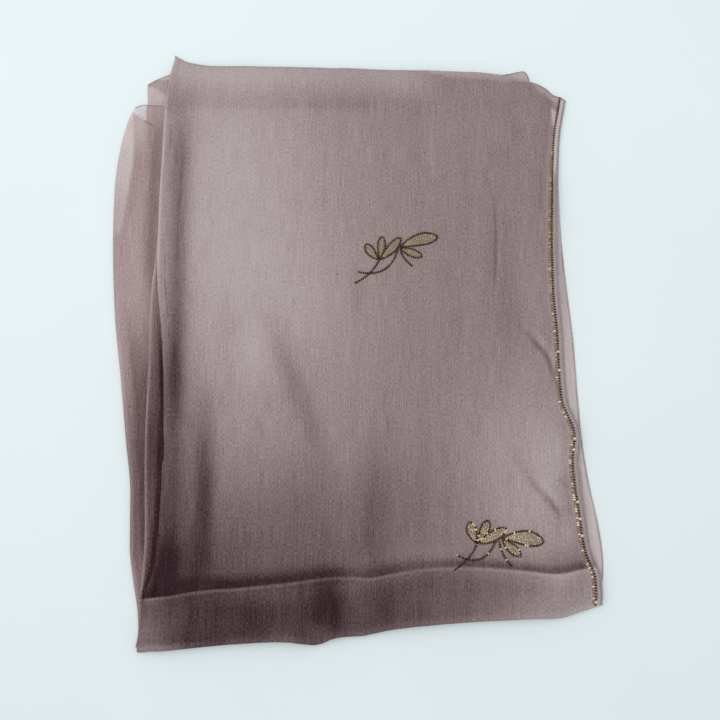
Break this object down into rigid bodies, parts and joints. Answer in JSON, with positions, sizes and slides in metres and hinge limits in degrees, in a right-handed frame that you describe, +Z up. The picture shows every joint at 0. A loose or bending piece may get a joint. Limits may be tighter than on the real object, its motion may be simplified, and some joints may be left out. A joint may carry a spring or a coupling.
{
  "type": "folded chiffon scarf",
  "caption": "Sheer crinkle chiffon scarf with a bead border and beaded leaf sprigs, folded into a flat pile of stretches.",
  "frame": {"origin": "under the middle of the folded scarf, on the surface that it lies on", "axes": "+Z up, +Y towards the upper fold along the pile's length, +X towards the beaded edge"},
  "size_m": [0.4201, 0.5187, 0.0175],
  "materials": {
    "chiffon": "sheer crinkled matt",
    "chiffon_hidden": "sheer crinkled matt",
    "gold_beads": "small antique gold beads"
  },
  "bodies": {
    "root": {"hidden_layers": "chiffon_hidden", "left_corner_stretch": "chiffon", "left_outer_stretch": "chiffon", "left_roll_stretch": "chiffon", "right_outer_stretch": "chiffon", "right_inner_stretch": "chiffon", "back_top_stretch": "chiffon", "top_stretch": "chiffon", "bead_trim": "gold_beads"}
  },
  "joints": []
}
